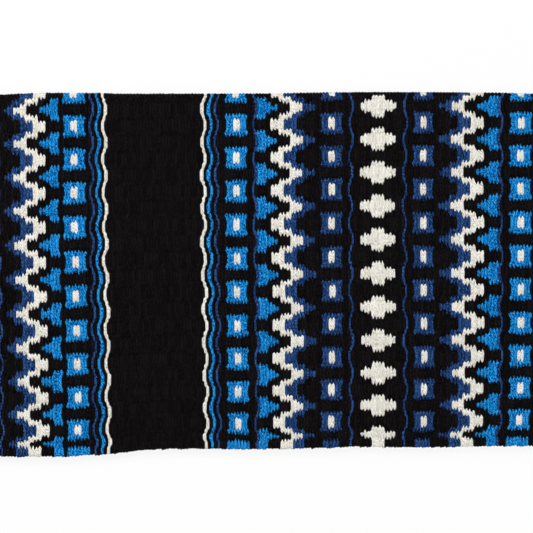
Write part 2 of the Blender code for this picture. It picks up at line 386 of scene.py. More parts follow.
RIB_SLANT_X = [-0.436, -0.371, -0.131, 0.0]
RIB_SLANT = [0.0055, 0.0049, 0.0026, 0.0010]
FOLD_X = [
    *[-0.484, -0.463, -0.436, -0.411, -0.338, -0.314],
    *[-0.120, -0.095, -0.022, 0.080, 0.150, 0.180],
]
FOLD_DROP = [
    *[0.0010, 0.0030, 0.0015, 0.0006, 0.0006, 0.0017],
    *[0.0014, 0.0006, -0.0002, 0.0, 0.0006, 0.0016],
]
FOLD_DROP_POWER = 6
SELVEDGE_X = [
    *[-0.363, -0.338, -0.314, -0.290, -0.217, -0.119],
    *[-0.090, -0.055, -0.030, 0.075, 0.105, 0.160],
]
SELVEDGE_DROP = [
    *[0.0, 0.0014, 0.0018, 0.0012, 0.0032, 0.0034],
    *[0.0026, 0.0018, 0.0004, 0.0012, 0.0006, -0.0004],
]
# The right half is pulled in at the selvedge, from this share of the leaf's depth on
EDGE_PULL = 0.0022
EDGE_PULL_FROM_SHARE = 0.93
EDGE_PULL_EASE_SHARE = 0.05
EDGE_PULL_FULL_X = 0.05
# Between fold and selvedge it bends a little more. A bend moves it in X, and a drop moves it towards
# the selvedge. The shares are of the way there.
UPPER_PART_SHARE = 0.6
LOWER_DROP_SHARES = [0.50, 0.75, 0.92, 0.98]
LOWER_DROP_FULLNESS = [0.0, 0.75, 1.0, 0.0]
LOWER_BEND_START_SHARE = 0.52
LOWER_BEND_LENGTH_SHARE = 0.46
BEND_X = [
    *[-0.436, -0.371, -0.334, -0.213, -0.170, -0.146, -0.105],
    *[-0.057, -0.034, 0.0, 0.055, 0.086, 0.117, 0.155],
]
UPPER_BEND_MM = [
    *[-1.1, -1.4, -0.45, -0.2, 0.0, -1.1, -0.9],
    *[-0.3, 0.0, -0.45, -0.5, -0.75, -0.9, -0.6],
]
LOWER_BEND_MM = [0.1, 0.0, 0.1, -0.2, 0.2, 0.3, 0.0, 0.7, 0.3, 0.2, 0.8, 1.2, 0.8, 0.5]
UPPER_DROP_MM = [-0.1, -1.1, -0.9, 0.3, 0.2, -0.2, -0.6, -0.3, -0.2, -0.1, -0.2, -0.4, -0.4, -0.3]
LOWER_DROP_MM = [0.0, 0.1, -0.1, 0.1, 0.1, -0.7, -1.5, -1.1, -0.2, -0.3, -0.8, -0.8, -0.9, -1.3]
SAG_START_X = -0.235
SAG_LENGTH = 0.165
# The seed, length and size of its gentle waves, which move it in X, in Y, and up and down
ROW_WAVES = [(3, 0.045, 0.0004), (4, 0.190, 0.0004)]
RIB_WAVE = (5, 0.060, 0.0003)
SWELL_WAVE = (6, 0.110, 0.0003)
WAVES_IN_A_RIPPLE = 5
WAVE_LENGTH_SHARES = (0.7, 1.6)
RIPPLE_PEAK = 2.2
# How far the outer face keeps from the hinge's height, and how the inner face fades by the hinge
SPLIT_AT_FOLD = 0.00065
INNER_TURN_SHARE = 0.8
INNER_CLEAR_SHARE = 0.9
INNER_FADE_START_SHARE = 0.15
INNER_FADE_LENGTH_SHARE = 0.45


def smoothstep(value):
    """A soft step from 0 to 1."""
    value = np.clip(value, 0, 1)
    return value * value * (3 - 2 * value)


def ripple(x, y, seed, length, amount):
    """A gentle uneven wave over the cloth, of about this length and size."""
    draw = np.random.default_rng(seed)
    total = np.zeros(np.broadcast(x, y).shape)
    for _ in range(WAVES_IN_A_RIPPLE):
        turn, phase = draw.uniform(0, 2 * math.pi, 2)
        step = 2 * math.pi / (length * draw.uniform(*WAVE_LENGTH_SHARES))
        total += np.sin((x * math.cos(turn) + y * math.sin(turn)) * step + phase)
    return total * amount / RIPPLE_PEAK


def sag(x):
    """How much further than the rest the selvedge hangs at the corner, as the photo shows it."""
    corner = corner_sag * smoothstep((SAG_START_X - x) / SAG_LENGTH)
    return corner + np.interp(x, SELVEDGE_X, SELVEDGE_DROP)


def cloth_section(x, along):
    """The outer and inner surface of the cloth: Y, Z and the way each faces, in Y and Z."""
    side = np.where(along < 0, -1.0, 1.0)
    reach = np.abs(along)
    selvedge = np.where(along < 0, lower_low.y, upper_low.y) - sag(x)
    edge_y = selvedge + edge_radius
    edge_z = hinge_z + side * (fold_radius + half_gap) / 2

    flat_share = np.clip((reach - quarter_fold) / (flat_end - quarter_fold), 0, 1)
    turn = np.clip(reach / fold_radius, 0, math.pi / 2)
    edge_turn = np.clip((reach - flat_end) / edge_radius, 0, math.pi / 2)
    on_fold = reach < quarter_fold
    on_edge = reach > flat_end

    y = fold_start_y - flat_share * (fold_start_y - edge_y) + fold_radius * np.cos(turn)
    y = np.where(on_edge, edge_y - edge_radius * np.sin(edge_turn), y)
    z = hinge_z + side * fold_radius * np.sin(turn)
    z = np.where(on_edge, edge_z + side * edge_radius * np.cos(edge_turn), z)
    face_y = np.where(on_fold, np.cos(turn), -np.sin(edge_turn))
    face_z = side * np.where(on_fold, np.sin(turn), np.cos(edge_turn))
    # No point lies so near the hinge's height that the opening cloth would drag it through itself
    z = np.where(np.abs(z - hinge_z) < SPLIT_AT_FOLD, hinge_z - SPLIT_AT_FOLD, z)

    # Inside, the two leaves lie flat on each other almost to the fold's edge
    inner_y = np.where(on_fold, fold_start_y + INNER_TURN_SHARE * fold_radius * np.cos(turn), y)
    inner_z = edge_z - side * edge_radius * np.cos(edge_turn)
    inner_z = np.where(on_edge, inner_z, hinge_z + side * half_gap)
    inner_face_y = np.where(on_edge, -np.sin(edge_turn), 0.0)
    inner_face_z = -side * np.where(on_edge, np.cos(edge_turn), 1.0)
    return (y, z, face_y, face_z), (inner_y, inner_z, inner_face_y, inner_face_z)


def lay_down(x, nominal, relief, inner):
    """Points of the cloth as it lies: pressed into its grooves, drawn in, slanting and rippled."""
    from_fold = np.abs(nominal) / cloth_end
    slant = np.interp(x, RIB_SLANT_X, RIB_SLANT) * (1 - from_fold)
    drift = np.interp(from_fold, RIB_DRIFT_SHARES, RIB_DRIFT_MM)
    upper = np.sin(math.pi * np.clip(from_fold / UPPER_PART_SHARE, 0, 1)) ** 2
    lower = np.interp(from_fold, LOWER_DROP_SHARES, LOWER_DROP_FULLNESS)
    drift = drift + upper * np.interp(x, BEND_X, UPPER_DROP_MM)
    drift = drift + lower * np.interp(x, BEND_X, LOWER_DROP_MM)
    along = nominal + slant + drift / 1000 * np.sign(nominal)
    y, z, face_y, face_z = cloth_section(x, along)[inner]
    if inner:
        past_hinge = np.abs(along) / fold_radius - INNER_FADE_START_SHARE
        relief = relief * smoothstep(past_hinge / INNER_FADE_LENGTH_SHARE)
    y = y + face_y * relief
    z = np.maximum(z + face_z * relief, 0)
    if inner:
        # The opening cloth would tear away whatever reaches the hinge's height
        leaf = np.where(along < 0, -1.0, 1.0)
        z = hinge_z + leaf * np.maximum(leaf * (z - hinge_z), INNER_CLEAR_SHARE * half_gap)
    share = np.clip((hinge_y - y) / (hinge_y - upper_low.y), 0, 1)
    pulled = EDGE_PULL * smoothstep((share - EDGE_PULL_FROM_SHARE) / EDGE_PULL_EASE_SHARE)
    pulled = pulled * smoothstep(x / EDGE_PULL_FULL_X)
    by_fold = np.interp(x, ROW_PLACES, SHIFT_BY_THE_FOLD_MM) / 1000
    by_selvedge = np.interp(x, ROW_PLACES, SHIFT_BY_THE_SELVEDGE_MM) / 1000
    moved_x = x + by_fold * (1 - share) + by_selvedge * share - pulled
    lower = np.clip((share - LOWER_BEND_START_SHARE) / LOWER_BEND_LENGTH_SHARE, 0, 1)
    lower = np.sin(math.pi * lower) ** 2
    bend = upper * np.interp(x, BEND_X, UPPER_BEND_MM) + lower * np.interp(x, BEND_X, LOWER_BEND_MM)
    moved_x = moved_x + bend / 1000
    for wave in ROW_WAVES:
        moved_x = moved_x + ripple(x, y, *wave)
    moved_y = y - np.interp(x, FOLD_X, FOLD_DROP) * (1 - share) ** FOLD_DROP_POWER
    moved_y = moved_y + ripple(x, y, *RIB_WAVE) * share
    # Only the upper face swells and sinks, because the leaves lie flat on the ground and each other
    swell = ripple(x, y, *SWELL_WAVE) * np.clip(face_z, 0, 1) * (z > hinge_z)
    return np.stack([moved_x, moved_y, z + swell], axis=-1)


# The hand of the weaver. Lone rows are thinner or fuller than others, by these shares of a column on
# each kind of rib. Black yarn is the fullest, and spreads over the ends of coloured floats.
LINE_NARROWING = {
    NAVY: {"diamond": 0.4, "between": 0.7, "square": 0.7},
    AZURE: {"diamond": -0.3, "between": 0.3, "square": 0.3},
    CREAM: {"diamond": -0.25, "between": 0.2, "square": 0.25},
}
BLACK_SPREAD = 0.0006
UNEVEN_ENDS = 0.0007
MOST_UNEVEN_END = 0.0009
# Floats that draw back at both ends, most of all where a block steps out on the diamond ribs: the
# first row, the way to the next ones, and how far each draws back, or reaches out, in millimetres
DRAWN_BACK = {
    "diamond": [
        *[(5, -1, [2.9, 0.0, 0.4]), (20, 1, [3.6, 3.5, 1.1]), (24, 1, [4.0, 3.3, 0.5])],
        *[(28, 1, [1.7, 0.9]), (32, 1, [4.7, 3.1, 0.7]), (105, -1, [4.3, 3.0, 0.7])],
        *[(109, -1, [1.8, 0.9]), (113, -1, [5.0, 4.2, 0.1]), (116, -1, [5.1, 1.9])],
    ],
    "square": [(14, 1, [0.5, 0.5]), (44, 1, [0.3, 0.0]), (94, 1, [0.9, 1.2])],
    "between": [
        *[(0.5, 1, [-0.7, -0.3]), (17.5, -1, [0.8]), (23.5, 1, [0.8, 0.9])],
        *[(42.5, 1, [-0.7, -0.9, -0.7, -0.7]), (91.5, 1, [1.2]), (95.5, 1, [-0.4, -0.6])],
        *[(99.5, 1, [-0.4]), (106.5, 1, [-0.8]), (113.5, -1, [1.7, 1.0])],
    ],
}
UNEVEN_DRAWING = 0.2
MOST_DRAWN_SHARE = 0.92
DRAWING_SEED = 100


def yarn_across(kind):
    """The yarn of the float in the middle of each column, on this kind of rib."""
    yarn = np.zeros(len(columns), int)
    rows = np.abs(columns) / COLUMNS_A_ROW
    for first, last, colour in DRAFT[kind]:
        yarn[(rows >= first) & (rows <= last)] = colour
    return yarn


def blackness(rib):
    """How much of the weft by each column is black on this rib, evened out over half a row."""
    offset = rib_offsets[rib]
    centre = np.rint((columns - offset) / COLUMNS_A_ROW).astype(int) * COLUMNS_A_ROW + offset
    centre = np.clip(centre + column_reach, 0, len(columns) - 1)
    black = (yarn_across(rib_kinds[rib])[centre] == BLACK).astype(float)
    return np.convolve(np.pad(black, 1, mode="edge"), [0.25, 0.5, 0.25], mode="valid")


def drawn_back(rib):
    """How far the floats draw back on this rib, by each column, some more and some less."""
    kind, start, end = ribs[rib]
    draw = np.random.default_rng(DRAWING_SEED + rib)
    back = np.zeros(len(columns))
    most = MOST_DRAWN_SHARE * ((end - start) / 2 - tip_length(start, end))
    for first, way, amounts in DRAWN_BACK[LIKE_KIND.get(kind, kind)]:
        for step, amount in enumerate(amounts):
            column = round((first + way * step) * COLUMNS_A_ROW)
            amount = amount / 1000 * draw.normal(1, UNEVEN_DRAWING, 2)
            back[[column_reach - column, column_reach + column]] = np.minimum(amount, most)
    return np.convolve(back, [0.5, 1, 1, 1, 0.5], mode="same")


def uneven_ends(draw):
    """How much sooner or later than it should each float ends, by each column."""
    ends = draw.normal(0, UNEVEN_ENDS, len(columns))
    ends = np.clip(ends, -MOST_UNEVEN_END, MOST_UNEVEN_END)
    return np.where(columns % 2 == 0, ends, (np.roll(ends, 1) + np.roll(ends, -1)) / 2)


def hand_of_the_weaver(loose_x, loose_along):
    """Lone rows are thinner or fuller than others, and no two floats end quite alike."""
    for station, rib in enumerate(rib_of_station):
        if at_border[station]:
            continue
        centred = (columns - rib_offsets[rib]) % COLUMNS_A_ROW == 0
        yarn = yarn_across(rib_kinds[rib])
        before = np.roll(yarn, COLUMNS_A_ROW)
        after = np.roll(yarn, -COLUMNS_A_ROW)
        kind = LIKE_KIND.get(rib_kinds[rib], rib_kinds[rib])
        for colour, narrowing in LINE_NARROWING.items():
            lone = np.flatnonzero(centred & (yarn == colour) & (before == BLACK) & (after == BLACK))
            for step in (1, HALF_ROW):
                inward = step / HALF_ROW * narrowing[kind] * column_pitch
                for row in {middle + station, middle - station}:
                    loose_x[lone + step, row] -= inward
                    loose_x[lone - step, row] += inward
    draw = np.random.default_rng(14)
    for rib, station in enumerate(borders):
        shift = BLACK_SPREAD * (blackness(rib) - blackness(rib + 1))
        shift = shift - drawn_back(rib) + drawn_back(rib + 1)
        upper = shift + uneven_ends(draw)
        lower = shift + uneven_ends(draw)
        for near in (station - 1, station, station + 1):
            loose_along[:, middle + near] += upper
            loose_along[:, middle - near] -= lower


# How deep the grooves beside the floats and at the ribs' borders are, by the four columns of a row,
# how much one float stands prouder than the next, and how much fuzz roughens them
GROOVE_DEPTH = 0.00095
GROOVE_SHARES = [0.0, 0.16, 1.0, 0.16]
BORDER_GROOVE_SHARES = (0.15, 0.9)
RIB_VALLEY = 0.00070
FLOAT_LIFT = 0.00018
FUZZ = 0.00018
INNER_RELIEF_SHARE = 0.6


def relief_of(seed):
    """How deep each point of the weave lies under the tops of its floats."""
    draw = np.random.default_rng(seed)
    shape = (len(columns), len(distance))
    offset = rib_offsets[rib_of_station]
    offset = np.concatenate([offset[:0:-1], offset])
    across = (columns[:, None] - offset[None, :]) % COLUMNS_A_ROW
    groove = np.choose(across, GROOVE_SHARES)
    at_the_border = np.where(columns[:, None] % 2 == 0, *BORDER_GROOVE_SHARES)
    groove = np.where(border[None, :], at_the_border, groove)
    depth = groove * GROOVE_DEPTH + dip[None, :] * RIB_VALLEY
    # One float stands a little prouder than the next
    float_of = (columns[:, None] - offset[None, :] + HALF_ROW) // COLUMNS_A_ROW + column_reach
    rib_of = np.concatenate([-rib_of_station[:0:-1] - 1, rib_of_station])
    lift = draw.normal(0, FLOAT_LIFT, (2 * len(ribs) + 1, 3 * column_reach))[rib_of, float_of]
    lift = np.where(border[None, :], 0, np.clip(lift, -2 * FLOAT_LIFT, 2 * FLOAT_LIFT))
    return lift * (1 - groove) - depth - draw.uniform(0, FUZZ, shape)


# The points of the cloth, each a little off its place: the outer ones, then as many inner ones. At
# the two selvedges they are the same.
LOOSE_ACROSS = 0.00014
LOOSE_ALONG = 0.00025
SELVEDGE_UNEVEN = 0.0005
draw = np.random.default_rng(11)
grid_x = columns[:, None] * column_pitch * np.ones((1, len(distance)))
grid_along = np.ones((len(columns), 1)) * distance[None, :]
loose_x = draw.normal(0, LOOSE_ACROSS, grid_x.shape)
loose_along = draw.normal(0, LOOSE_ALONG, grid_x.shape)
loose_x[[0, -1], :] = 0
hand_of_the_weaver(loose_x, loose_along)
loose_along[:, [0, -1]] = 0
# However far a float draws back, no point of it passes the next one
grid_along = np.sort(grid_along + loose_along, axis=1)
uneven = draw.normal(0, SELVEDGE_UNEVEN, (2, len(columns)))
relief = relief_of(12)
outer_points = lay_down(grid_x + loose_x, grid_along, relief, 0)
inner_relief = (relief_of(13) - 2 * FLOAT_LIFT) * INNER_RELIEF_SHARE
inner_points = lay_down(grid_x + loose_x, grid_along, inner_relief, 1)
for which, row in enumerate((0, -1)):
    by_row = np.repeat(uneven[which, ::COLUMNS_A_ROW], COLUMNS_A_ROW)
    outer_points[:, row, 1] += by_row[: len(columns)]
    inner_points[:, row] = outer_points[:, row]
cloth_points = np.concatenate([outer_points.reshape(-1, 3), inner_points.reshape(-1, 3)])
inner_start = outer_points.shape[0] * outer_points.shape[1]


def floats_of_the_cloth():
    """Outer faces, three- and four-sided: corner columns and stations, ribs and middle columns."""
    found = {3: [], 4: []}
    start = columns[:-1]

    def add_faces(corners, rib, middles):
        found[len(corners)].append(
            (
                np.stack([column for column, _ in corners], axis=1),
                np.tile([station for _, station in corners], (len(middles), 1)),
                np.full(len(middles), rib),
                middles,
            )
        )

    for at, (rib, stretch) in enumerate(steps):
        cell = (start - rib_offsets[rib]) % COLUMNS_A_ROW
        other_rib = rib + 1 if stretch == NARROWING else rib - 1
        near, far = (at, at + 1) if stretch == NARROWING else (at + 1, at)
        for which, own_middle in ((0, 0), (1, -1), (2, 2), (3, 1)):
            c = start[cell == which]
            quad = [(c, at), (c, at + 1), (c + 1, at + 1), (c + 1, at)]
            if stretch == STRAIGHT or which in (0, 3):
                add_faces(quad, rib, c + own_middle)
                continue
            # The float's flank runs from its full width, near, to half of it, far
            if which == 1:
                own = [(c, near), (c + 1, near), (c, far)]
                other = [(c + 1, near), (c + 1, far), (c, far)]
                other_middle = c + 1
            else:
                own = [(c, near), (c + 1, near), (c + 1, far)]
                other = [(c, near), (c + 1, far), (c, far)]
                other_middle = c
            if stretch == NARROWING:
                own = own[::-1]
                other = other[::-1]
            add_faces(own, rib, c + own_middle)
            add_faces(other, other_rib, other_middle)
    sets = []
    for parts in found.values():
        upper = [np.concatenate(fact) for fact in zip(*parts)]
        # The lower leaf is the upper one's mirror image, and its ribs count down from -1
        lower = [upper[0][:, ::-1], -upper[1][:, ::-1], -upper[2] - 1, upper[3]]
        sets.append([np.concatenate(pair) for pair in zip(upper, lower)])
    return sets


float_sets = floats_of_the_cloth()
yarn_tables = np.array([yarn_across(kind) for kind in rib_kinds])
dye_lots = np.random.default_rng(21)
dye_lots = dye_lots.uniform(0, 1, (2, 2 * len(ribs), len(columns) + 2 * COLUMNS_A_ROW))

# The weft bands. Each is one stretch of the pattern, woven of the wool yarns and beaten in after the
# one before it. It goes round the warp, from the lower selvedge round the fold to the upper one.
CHART_MARGIN = 0.002
CHART_ROOM_SHARE = 0.03
BLEND_SHARE = 0.8
blend_reach = BLEND_SHARE * half_gap


def count_of_rib(face_ribs):
    """Which rib from the fold it is, on either leaf."""
    return np.where(face_ribs < 0, -face_ribs - 1, face_ribs)


def floats_between(first_row, last_row, side):
    """The faces of the floats in these rows, on this side of the middle, with their yarn."""
    chosen = []
    for cols, places, face_ribs, middles in float_sets:
        rows = middles / COLUMNS_A_ROW
        rib = count_of_rib(face_ribs)
        shift = rib_offsets[rib] / COLUMNS_A_ROW
        inside = np.abs(rows) < last_row + shift
        if side:
            inside &= (rows * side > 0) & (np.abs(rows) > first_row + shift)
        yarn = yarn_tables[rib, np.clip(middles + column_reach, 0, len(columns) - 1)]
        chosen.append([fact[inside] for fact in (cols, places, face_ribs, middles, yarn)])
    return chosen


def faces_of(floats):
    """The outer faces, the same faces inside, turned round, their facts, and the outer edges.

    The facts are each face's yarn, rib, middle column and chart, and each corner's place on its
    float, across and along, and on the chart.
    """
    faces = []
    facts = []
    edges = []
    for cols, places, face_ribs, middles, yarn in floats:
        numbers = (cols + column_reach) * len(distance) + places + middle
        inner_numbers = np.where(np.abs(places) == middle, numbers, numbers + inner_start)
        # The yarn narrows at a border, so its fibres draw together there, and the painted groove
        # shade reaches the narrowed float's flanks
        narrowed = np.where(border[places + middle], 2, 1)
        across = (cols - middles[:, None]) * column_pitch * narrowed
        leaf = np.where(face_ribs < 0, -1, 1)
        along = distance[places + middle] - (leaf * rib_middles[count_of_rib(face_ribs)])[:, None]
        by_corner = (across, along, cols * column_pitch, distance[places + middle])
        for chart, (own_numbers, way) in enumerate(((numbers, 1), (inner_numbers, -1))):
            faces.append(own_numbers[:, ::way])
            by_face = (yarn, face_ribs, middles, np.full(len(cols), chart))
            facts.append([*by_face, *(fact[:, ::way] for fact in by_corner)])
        for corner in range(cols.shape[1]):
            ends = [corner, (corner + 1) % cols.shape[1]]
            own = np.stack([yarn, face_ribs, middles], axis=1)
            edges.append(np.hstack([numbers[:, ends], own, cols[:, ends], places[:, ends]]))
    return faces, facts, np.concatenate(edges)


def walls_of(edges):
    """The walls through the cloth, from outside to inside, where the band meets its neighbours."""
    _, first, uses = np.unique(
        np.sort(edges[:, :2], axis=1), axis=0, return_index=True, return_counts=True
    )
    rim = edges[first[uses == 1]]
    at_selvedge = np.abs(rim[:, 7:]) == middle
    halfway = (rim[:, 5:7].max() + rim[:, 5:7].min()) / 2
    faces = []
    facts = []
    # Both ends of the edge inside the leaf, or one of them on the selvedge, where the wall ends
    for first_on_it, second_on_it, corners in (
        (False, False, [0, 1, 2, 3]),
        (True, False, [0, 1, 3]),
        (False, True, [0, 1, 2]),
    ):
        part = rim[(at_selvedge[:, 0] == first_on_it) & (at_selvedge[:, 1] == second_on_it)]
        if not len(part):
            continue
        a, b, yarn, face_ribs, middles, col_a, col_b, place_a, place_b = part.T
        numbers = np.stack([b, a, a + inner_start, b + inner_start], axis=1)[:, corners]
        cols = np.stack([col_b, col_a, col_a, col_b], axis=1)[:, corners]
        places = np.stack([place_b, place_a, place_a, place_b], axis=1)[:, corners]
        depth = np.tile(np.array([0, 0, 1, 1])[corners] * 2 * edge_radius, (len(part), 1))
        across = (cols - middles[:, None]) * column_pitch
        chart = np.where((col_a + col_b) / 2 > halfway, 3, 2)
        faces.append(numbers)
        facts.append(
            [yarn, face_ribs, middles, chart, across, depth, depth, distance[places + middle]]
        )
    return faces, facts


def bake_places(charts, chart_x, chart_y, sizes):
    """Lays a piece out flat in a square: its charts side by side, cut in a few lengths."""
    chart = np.repeat(charts, sizes)
    lows = np.zeros(4)
    widths = np.zeros(4)
    for number in set(charts.tolist()):
        own = chart_x[chart == number]
        lows[number] = own.min()
        widths[number] = np.ptp(own)
    starts = np.concatenate([[0.0], np.cumsum(widths[:-1] + CHART_MARGIN)])
    total = starts[-1] + widths[-1] + CHART_MARGIN
    whole = np.ptp(chart_y)
    lengths = max(1, round(math.sqrt(whole / total)))
    length = whole / lengths
    from_start = chart_y - chart_y.min()
    first = np.cumsum(sizes) - sizes
    middles = np.add.reduceat(from_start, first) / sizes
    cut = np.repeat(np.clip((middles / length).astype(int), 0, lengths - 1), sizes)
    x = chart_x - lows[chart] + starts[chart] + CHART_MARGIN / 2 + cut * total
    room = CHART_ROOM_SHARE * whole
    y = from_start - cut * length + room / 2
    return np.stack([x / (lengths * total), y / (length + room)], axis=1)


def finished(name, mesh, maps):
    """The mesh with its UV maps, as a piece of the scene."""
    for map_name, places in maps.items():
        layer = mesh.uv_layers.new(name=map_name)
        layer.uv.foreach_set("vector", places.astype(np.float32).ravel())
    made = bpy.data.objects.new(name, mesh)
    bpy.context.scene.collection.objects.link(made)
    return made


def sew_up(name, faces, facts):
    """A band of these faces, with its yarns, its creases and its maps."""
    used, numbers = np.unique(np.concatenate([f.ravel() for f in faces]), return_inverse=True)
    sizes = np.concatenate([np.full(len(f), f.shape[1]) for f in faces])
    mesh = bpy.data.meshes.new(name)
    mesh.vertices.add(len(used))
    mesh.vertices.foreach_set("co", cloth_points[used].astype(np.float32).ravel())
    mesh.loops.add(len(numbers))
    mesh.loops.foreach_set("vertex_index", numbers.astype(np.int32).ravel())
    mesh.polygons.add(len(sizes))
    mesh.polygons.foreach_set("loop_start", (np.cumsum(sizes) - sizes).astype(np.int32))
    mesh.polygons.foreach_set("loop_total", sizes.astype(np.int32))
    mesh.update(calc_edges=True)

    yarn, rib, float_middle, chart, across, along, chart_x, chart_y = (
        np.concatenate([part.ravel() for part in fact]) for fact in zip(*facts)
    )
    shown = sorted(set(yarn.tolist()))
    for colour in shown:
        mesh.materials.append(yarns[colour])
    mesh.polygons.foreach_set("material_index", np.searchsorted(shown, yarn).astype(np.int32))

    # Each float is smooth, and the line between two floats is sharp
    corner_float = np.repeat((rib + len(ribs)) * 4 * len(columns) + float_middle, sizes)
    edge_of = np.zeros(len(numbers), np.int32)
    mesh.loops.foreach_get("edge_index", edge_of)
    lowest = np.full(len(mesh.edges), corner_float.max() + 1)
    highest = np.full(len(mesh.edges), corner_float.min() - 1)
    np.minimum.at(lowest, edge_of, corner_float)
    np.maximum.at(highest, edge_of, corner_float)
    crease = mesh.attributes.new("sharp_edge", "BOOLEAN", "EDGE")
    crease.data.foreach_set("value", lowest != highest)

    lots = dye_lots[:, rib + len(ribs), float_middle + column_reach + COLUMNS_A_ROW]
    maps = {
        "yarn": np.stack([across, along], axis=1) * 1000,
        "dye": np.repeat(lots.T, sizes, axis=0),
        "OFBake": bake_places(chart, chart_x, chart_y, sizes),
    }
    return finished(name, mesh, maps)


def weave_band(name, first_row, last_row, side):
    """One band of weft: these rows on this side, as one closed piece that both leaves carry."""
    faces, facts, edges = faces_of(floats_between(first_row, last_row, side))
    wall_faces, wall_facts = walls_of(edges)
    band = sew_up(name, faces + wall_faces, facts + wall_facts)
    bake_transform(band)
    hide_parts(f"lower_{name}", f"upper_{name}", "spine_bight", "spine_warp_cord")


DIAMOND_ROWS = 9.5
weave_band("diamonds", 0, DIAMOND_ROWS, 0)
bands = [
    ("navy_squares", "navy_square_weft", 18.5),
    ("inner_zigzag", "zigzag_weft", 34.5),
    ("inner_tooth_bar", "tooth_bar_weft", 39.5),
    ("inner_azure_squares", "azure_square_weft", 48.5),
    ("inner_pinstripes", "pinstripe_weft", 55.5),
    ("plain_field", "plain_weft", 84.5),
    ("outer_pinstripes", "pinstripe_weft", 90.5),
    ("outer_azure_squares", "azure_square_weft", 98.5),
    ("outer_tooth_bar", "tooth_bar_weft", 102.5),
    ("outer_zigzag", "zigzag_weft", 116.5),
    ("end_border", "plain_weft", ROWS_TO_THE_END + 1),
]
first_row = DIAMOND_ROWS
for name, slot, last_row in bands:
    weave_band(f"{name}_left", first_row, last_row, -1)
    weave_band(f"{name}_right", first_row, last_row, 1)
    first_row = last_row

# Warp cords. They are undyed cotton, and show only where they turn back at the blanket's ends. Each
# rib holds a pair, which is one endless loop of cord.
WARP_CORD_RADIUS = 0.00085
WARP_PAIR_REACH = 0.0016
WARP_END_REACH = 0.0068
WARP_END_INSET = 0.002
WARP_FROM_FOLD = 0.0085
HIDDEN_STEP = 0.030
CORD_SIDES = 8
TURN_POINTS = 11
FACES_A_LOT = 24
CORD_CHART_GAP = 0.001
cotton = spun_yarn("undyed cotton cord", "#b7ab94", "#cdc2ad", "#ded5c3", 2.0, 0.75, 0.10)


def cord_mesh(name, paths, material):
    """Cords as one mesh. A path is its middles, what is up, the rings' offsets and if it closes."""
    points = []
    faces = []
    yarn_places = []
    chart_x = []
    chart_y = []
    count = 0
    for number, (middles, ups, rings, closed) in enumerate(paths):
        ahead = np.roll(middles, -1, axis=0) - np.roll(middles, 1, axis=0)
        if not closed:
            ahead[0] = middles[1] - middles[0]
            ahead[-1] = middles[-1] - middles[-2]
        ahead /= np.linalg.norm(ahead, axis=1, keepdims=True)
        sideways = np.cross(ahead, ups)
        sideways /= np.linalg.norm(sideways, axis=1, keepdims=True)
        upward = np.cross(sideways, ahead)
        ring_points = (
            middles[:, None]
            + sideways[:, None] * rings[:, :, 0, None]
            + upward[:, None] * rings[:, :, 1, None]
        )
        points.append(ring_points.reshape(-1, 3))
        steps_on = len(middles) if closed else len(middles) - 1
        sides = rings.shape[1]
        at = np.concatenate([[0], np.cumsum(np.linalg.norm(np.diff(middles, axis=0), axis=1))])
        at = np.append(at, at[-1] + np.linalg.norm(middles[0] - middles[-1]))
        along, around = np.meshgrid(np.arange(steps_on), np.arange(sides), indexing="ij")
        along = along[:, :, None] + [0, 1, 1, 0]
        around = around[:, :, None] + [0, 0, 1, 1]
        quads = along % len(middles) * sides + around % sides
        faces += (quads.reshape(-1, 4) + count).tolist()
        # Across reaches a float's half width at a quarter and three quarters of the way round, where
        # the yarn's material paints groove shade, as between two plies
        across = HALF_FLOAT_MM / 1000 * np.sin(around / sides * 2 * math.pi)
        yarn_places.append(np.stack([across, at[along]], axis=-1).reshape(-1, 2))
        round_size = 2 * math.pi * np.abs(rings[len(rings) // 2]).max()
        chart_start = number * (round_size + CORD_CHART_GAP)
        chart_x.append((around / sides * round_size + chart_start).ravel())
        chart_y.append(at[along].ravel())
        if not closed:
            # A cut end is a small flat disc
            for ring, way in ((0, 1), (len(middles) - 1, -1)):
                order = np.arange(sides)[::way]
                size = np.abs(rings[ring]).max()
                faces.append((order + ring * sides + count).tolist())
                yarn_places.append(np.stack([np.zeros(sides), np.full(sides, at[ring])], axis=-1))
                disc = order / sides * 2 * math.pi
                chart_x.append(round_size * (number + 0.5) + size * np.cos(disc))
                chart_y.append(at[ring] - way * 2 * size + size * np.sin(disc))
        count += len(middles) * sides

    mesh = bpy.data.meshes.new(name)
    mesh.from_pydata(np.concatenate(points).tolist(), [], faces)
    sizes = np.array([len(face) for face in faces])
    lots = np.random.default_rng(31).uniform(0, 1, (len(faces) // FACES_A_LOT + 1, 2))
    lots = np.repeat(lots, FACES_A_LOT, axis=0)[: len(faces)]
    mesh.materials.append(material)
    mesh.shade_smooth()
    chart = np.zeros(len(faces), int)
    maps = {
        "yarn": np.concatenate(yarn_places) * 1000,
        "dye": np.repeat(lots, sizes, axis=0),
        "OFBake": bake_places(chart, np.concatenate(chart_x), np.concatenate(chart_y), sizes),
    }
    return finished(name, mesh, maps)


def inside_cloth(x, nominal):
    """The middle of the cloth's thickness there, and the way from its inside to its outside."""
    outer = lay_down(x, nominal, 0.0, 0)
    inner = lay_down(x, nominal, 0.0, 1)
    return (outer + inner) / 2, outer - inner


